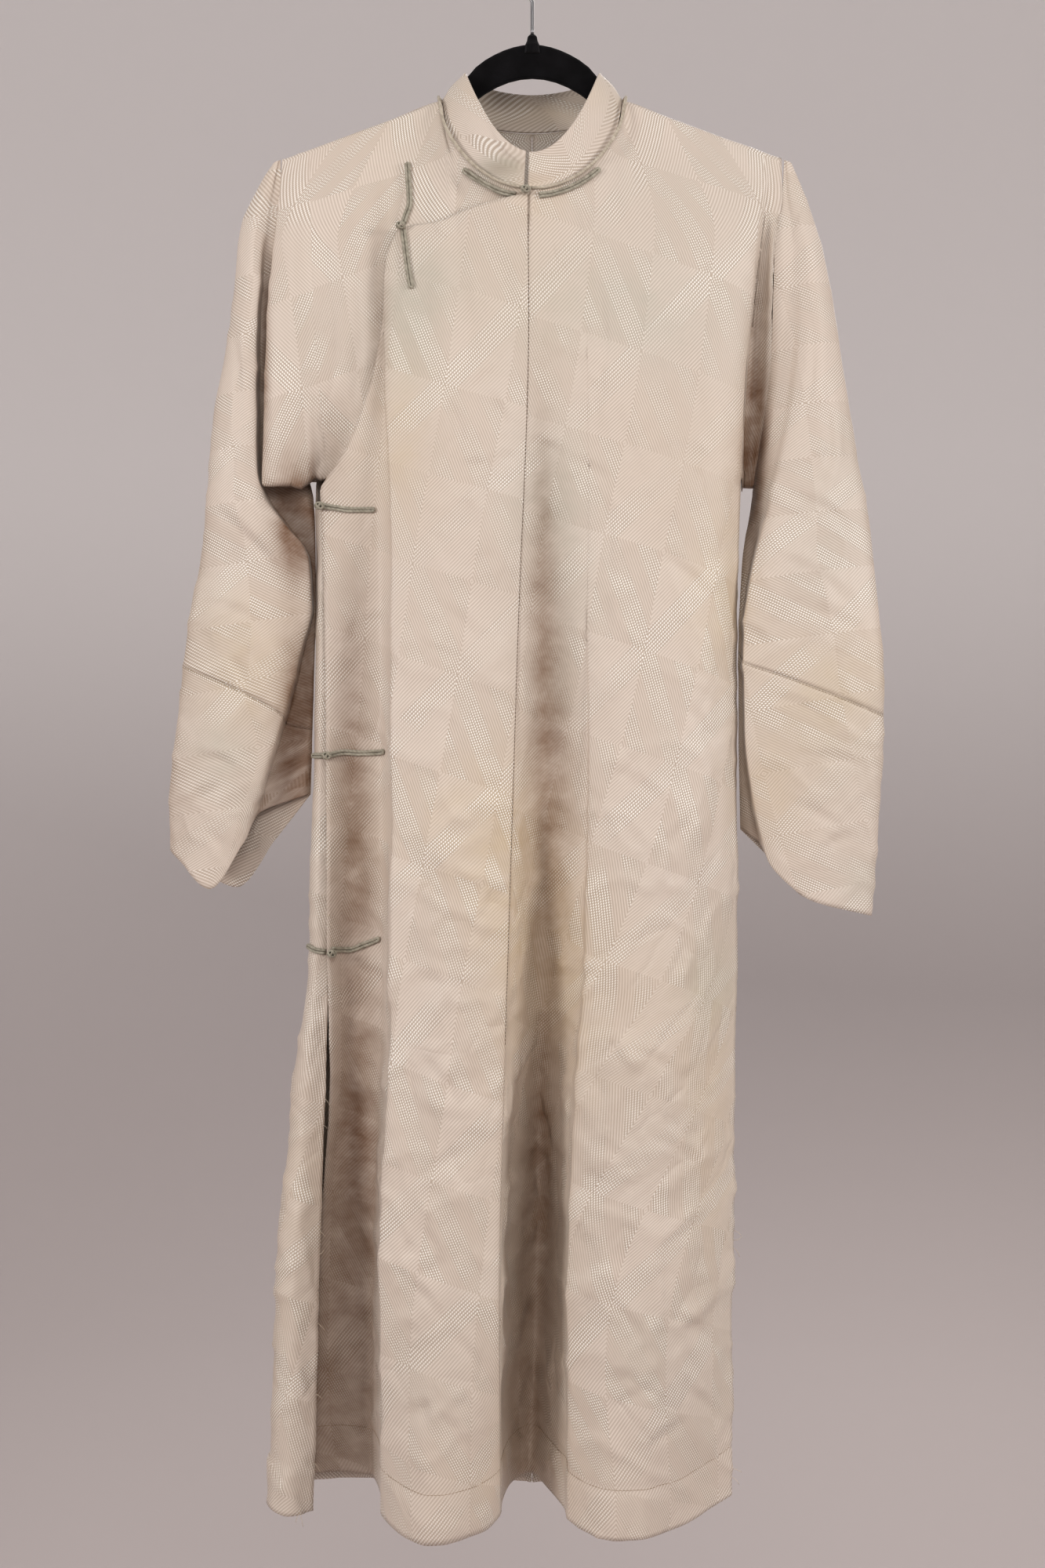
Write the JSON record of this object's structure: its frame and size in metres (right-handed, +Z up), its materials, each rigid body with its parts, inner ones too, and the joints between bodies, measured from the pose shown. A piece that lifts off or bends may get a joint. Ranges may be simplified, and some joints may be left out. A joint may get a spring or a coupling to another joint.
{
  "type": "chinese robe on a clothes hanger",
  "caption": "Long side-fastening silk damask robe with a standing collar and knotted cord frogs, hanging closed on a flocked hanger with a steel hook.",
  "frame": {"origin": "inside top of the hanger's hook, where the rod carries it", "axes": "+Z up, +X to the viewer's right along the hanger, the robe's front faces -Y"},
  "size_m": [0.6078, 0.1518, 1.338],
  "materials": {
    "silk_damask": "satin",
    "collar_silk": "satin",
    "cord_silk": "matte",
    "velvet_flock": "matte",
    "steel_wire": "satin"
  },
  "bodies": {
    "root": {"front_left": "silk_damask", "front_overlap": "silk_damask", "under_front_right": "silk_damask", "back_left": "silk_damask", "back_right": "silk_damask", "sleeve_upper_left": "silk_damask", "sleeve_upper_right": "silk_damask", "sleeve_end_left": "silk_damask", "sleeve_end_right": "silk_damask", "collar": "collar_silk", "collar_piping": "cord_silk", "frog_collar_left": "cord_silk", "frog_collar_right": "cord_silk", "frog_collar_knot": "cord_silk", "frog_chest_up": "cord_silk", "frog_chest_down": "cord_silk", "frog_chest_knot": "cord_silk", "frog_armpit_in": "cord_silk", "frog_armpit_knot": "cord_silk", "frog_waist_in": "cord_silk", "frog_waist_out": "cord_silk", "frog_waist_knot": "cord_silk", "frog_hip_in": "cord_silk", "frog_hip_out": "cord_silk", "frog_hip_knot": "cord_silk", "hanger_body": "velvet_flock", "hanger_hook": "steel_wire"}
  },
  "joints": []
}
